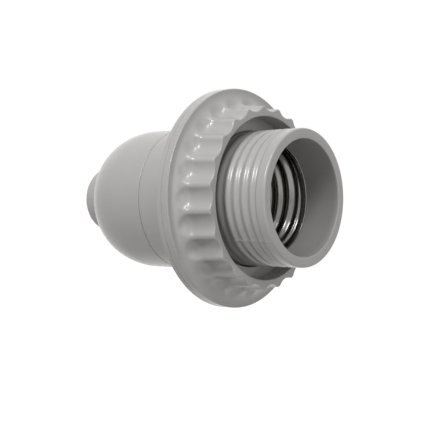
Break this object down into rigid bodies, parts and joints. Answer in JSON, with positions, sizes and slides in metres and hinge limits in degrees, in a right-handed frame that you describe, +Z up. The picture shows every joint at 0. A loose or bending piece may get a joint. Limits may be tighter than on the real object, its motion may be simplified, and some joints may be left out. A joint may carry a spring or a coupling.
{
  "type": "lamp holder",
  "caption": "Screw-in lamp holder with a domed rear cap, a threaded neck, a round flange, a scalloped shade ring and a threaded metal shell.",
  "frame": {"origin": "centre of the cord entry's outer end, on the lamp axis", "axes": "+X along the lamp axis towards the mouth, +Z up, with the live terminal above the axis"},
  "size_m": [0.0698, 0.0566, 0.0566],
  "materials": {
    "grey_thermoplastic": "moulded, softly glossy",
    "nickelled_sheet": "rolled and nickel plated",
    "white_moulding": "moulded, dull",
    "brass": "punched and tumbled",
    "phosphor_bronze": "rolled strip",
    "zinc_plated_steel": "bright zinc plated"
  },
  "bodies": {
    "rear_cap": {"rear_cap": "grey_thermoplastic"},
    "nipple_lock_screw": {"nipple_lock_screw": "zinc_plated_steel"},
    "lamp_body": {"front_sleeve": "grey_thermoplastic", "screw_shell": "nickelled_sheet", "shell_rivets": "brass", "contact_block": "white_moulding", "live_terminal": "brass", "neutral_terminal": "brass", "leaf_rivet": "brass", "centre_contact_leaf": "phosphor_bronze"},
    "shade_ring": {"shade_ring": "grey_thermoplastic"},
    "centre_contact_pip": {"centre_contact_pip": "brass"},
    "live_wire_clamp": {"live_wire_clamp": "zinc_plated_steel"},
    "live_terminal_screw": {"live_terminal_screw": "zinc_plated_steel"},
    "neutral_wire_clamp": {"neutral_wire_clamp": "zinc_plated_steel"},
    "neutral_terminal_screw": {"neutral_terminal_screw": "zinc_plated_steel"}
  },
  "joints": [
    {"name": "sleeve_unscrew", "type": "slide", "parent": "rear_cap", "child": "lamp_body", "axis": [1, 0, 0], "range_m": [0, 0.03]},
    {"name": "ring_unscrew", "type": "slide", "parent": "lamp_body", "child": "shade_ring", "axis": [1, 0, 0], "range_m": [0, 0.0225]},
    {"name": "lock_screw_back_out", "type": "slide", "parent": "rear_cap", "child": "nipple_lock_screw", "axis": [0, 1, 0], "range_m": [0, 0.002]},
    {"name": "contact_press", "type": "slide", "parent": "lamp_body", "child": "centre_contact_pip", "axis": [1, 0, 0], "range_m": [-0.0015, 0], "stiffness_N_per_m": 2000, "deforming": ["centre_contact_leaf"]},
    {"name": "live_clamp_lift", "type": "slide", "parent": "lamp_body", "child": "live_wire_clamp", "axis": [-1, 0, 0], "range_m": [0, 0.0015]},
    {"name": "live_screw_turn", "type": "hinge", "parent": "live_wire_clamp", "child": "live_terminal_screw", "pos_m": [0.0276, 0, 0.0106], "axis": [-1, 0, 0], "range_deg": [0, 1080]},
    {"name": "neutral_clamp_lift", "type": "slide", "parent": "lamp_body", "child": "neutral_wire_clamp", "axis": [-1, 0, 0], "range_m": [0, 0.0015]},
    {"name": "neutral_screw_turn", "type": "hinge", "parent": "neutral_wire_clamp", "child": "neutral_terminal_screw", "pos_m": [0.0276, 0, -0.0066], "axis": [-1, 0, 0], "range_deg": [0, 1080]}
  ],
  "couplings": [
    {"joint": "live_screw_turn", "follows": "live_clamp_lift", "rad_per_m": 12566},
    {"joint": "neutral_screw_turn", "follows": "neutral_clamp_lift", "rad_per_m": 12566}
  ]
}
